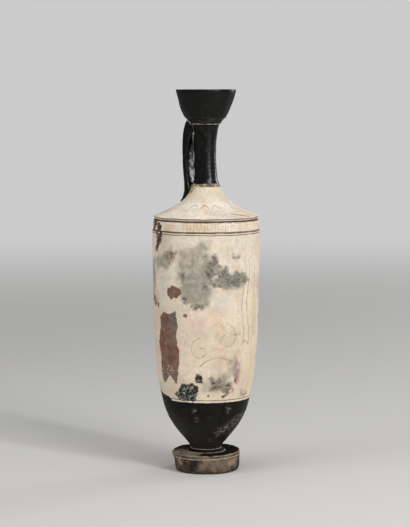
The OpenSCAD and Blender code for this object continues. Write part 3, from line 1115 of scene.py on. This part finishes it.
FILLET_REACH = 2.2 * MM
FILLET_HEIGHT = 1.3 * MM
WEB_AT = (-13.0, 0, 337.5)
WEB_SIZE = (5.0, 7.0, 9.5)
VOXEL = 0.5 * MM
SOFTENED_BY = 0.1 * MM
HEAD_FROM = 325 * MM
# The pale line round the strap's head, in millimetres from its neighbours
SEAM_GAP = 1.0
SEAM_HALF_WIDTH = 0.35


def web_of_clay():
    """Clay pressed into the corner between the strap and the neck, as an oval lump."""
    lump = bmesh.new()
    bmesh.ops.create_icosphere(lump, subdivisions=4, radius=MM)
    for vertex in lump.verts:
        vertex.co = Vector(c * s + a * MM for c, s, a in zip(vertex.co, WEB_SIZE, WEB_AT))
    return lump


def handle_piece(neighbours):
    """The frame's handle with rounded edges, and clay smoothed on where it meets its neighbours."""
    clay = web_of_clay()
    clay.from_mesh(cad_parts["handle"].data)
    rough_mesh = bpy.data.meshes.new("handle_rough")
    clay.to_mesh(rough_mesh)
    clay.free()
    rough = bpy.data.objects.new("handle_rough", rough_mesh)
    bpy.context.scene.collection.objects.link(rough)
    remesh = rough.modifiers.new("remesh", "REMESH")
    remesh.mode = "VOXEL"
    remesh.voxel_size = VOXEL
    soften = rough.modifiers.new("soften", "SMOOTH")
    soften.factor = 0.5
    soften.iterations = 3
    graph = bpy.context.evaluated_depsgraph_get()
    mesh = bpy.data.meshes.new_from_object(rough.evaluated_get(graph))
    bpy.data.objects.remove(rough)
    mesh.name = "handle_skin"
    piece = finish_piece(mesh, "handle_skin", "handle")
    trees = [BVHTree.FromObject(other, graph) for other in neighbours]
    normals = [vertex.normal.copy() for vertex in mesh.vertices]
    places = np.array([vertex.co for vertex in mesh.vertices])
    ripple = 0.07 * MM * waves(places, 9 * MM, 61) + 0.05 * MM * waves(places, 4 * MM, 62)
    gaps = [min(tree.find_nearest(vertex.co)[3] for tree in trees) for vertex in mesh.vertices]
    for vertex, normal, lift, gap in zip(mesh.vertices, normals, ripple, gaps):
        lift -= SOFTENED_BY
        if gap < FILLET_REACH:
            lift += FILLET_HEIGHT * (1 - gap / FILLET_REACH) ** 2
        vertex.co += normal * lift
    mesh.update()
    seam = SEAM_HALF_WIDTH - np.abs(np.array(gaps) / MM - SEAM_GAP)
    store(piece, "bare", np.where(places[:, 2] > HEAD_FROM, seam, NOWHERE))
    return piece


# Worn places of the foot, and pale lines at the neck's two joints

def mark_joints(neck, neck_skin, mouth, mouth_skin):
    """Pale lines on the gloss at the neck's two ends: bare clay at its foot, and a pale ring at the cup's
    seat.
    """
    neck_line = 0.45 - np.abs(neck_skin.z - NECK_SEAT - 0.4)
    store(neck, "bare", np.where(neck_skin.outer, neck_line, NOWHERE))
    store(mouth, "bare", 0.35 - np.abs(mouth_skin.z - MOUTH_SEAT - 0.3))


def mark_foot(foot, skin):
    """Black on top, pale lines at the edges, and dark and light patches on the side."""
    r = skin.r / MM
    z = skin.z
    top = z > DISC_TOP - 2.3
    painted = np.minimum(z - DISC_TOP + 1.9, DISC_RADIUS - 1.1 - r)
    store(foot, "painted", np.where(skin.outer | top, painted, NOWHERE))
    rim_line = 0.50 - np.abs(np.hypot(r - DISC_RADIUS + 0.7, z - DISC_TOP + 0.9))
    stem_line = 0.35 - np.abs(r - STEM_RADIUS - 0.2)
    ring_line = 0.45 - np.abs(r - RING_RADIUS - 0.2)
    top_lines = np.maximum(rim_line, np.maximum(stem_line, ring_line))
    store(foot, "edge", np.where(top, top_lines, 0.28 - np.abs(z - INCISED_LINE)))
    around = (skin.azimuth, z)
    worn_side = in_patch(*around, [(-98, 40), (-98, 0), (-14, 0), (-14, 40)])
    store(foot, "rubbed", np.where(top & (r > RING_RADIUS + 1.5), worn_side, NOWHERE))
    dark = [
        blot(71, -22, 8, 36, 20), blot(72, -88, 9, 30, 16),
        blot(73, 120, 9, 26, 15), blot(74, -150, 8, 30, 14),
        [(46, -2), (58, 5), (76, 10), (84, 8), (84, -2)],
    ]
    light = [
        blot(75, -50, 12, 9, 9), blot(76, 52, 11, 22, 8),
        blot(77, 100, 10, 18, 7), blot(78, 180, 9, 22, 8),
    ]
    for name, blots in (("dark", dark), ("light", light)):
        store(foot, name, np.max([in_patch(*around, corners) for corners in blots], axis=0))


add_camera()
add_world()
add_floor()
bpy.context.scene.view_settings.view_transform = "Standard"

body, body_skin = turned_piece(
    "body", "body_skin", sides=288, step=0.9 * MM, relief=body_relief, inner_step=8 * MM)
shoulder, shoulder_skin = turned_piece(
    "shoulder", "shoulder_skin", sides=320, step=0.8 * MM, relief=shoulder_relief, inner_step=4 * MM)
neck, neck_skin = turned_piece(
    "neck", "neck_skin", sides=160, step=0.8 * MM, relief=neck_relief, inner_step=6 * MM, bend=neck_bend)
mouth, mouth_skin = turned_piece(
    "mouth", "mouth_skin", sides=224, step=0.8 * MM, relief=mouth_relief, bend=mouth_bend)
foot, foot_skin = turned_piece(
    "foot", "foot_skin", sides=256, step=0.8 * MM, relief=foot_relief, bend=foot_bend)
handle = handle_piece([shoulder, neck, mouth])

paint(body, body_skin)
paint(shoulder, shoulder_skin)
mark_joints(neck, neck_skin, mouth, mouth_skin)
mark_foot(foot, foot_skin)

slip = white_ground()
gloss = black_gloss()
for piece in (body, shoulder):
    dress(piece, slip)
for piece in (neck, mouth, handle):
    dress(piece, gloss)
dress(foot, foot_clay())

for name, settings in SOFTBOXES.items():
    add_softbox(name, *settings)
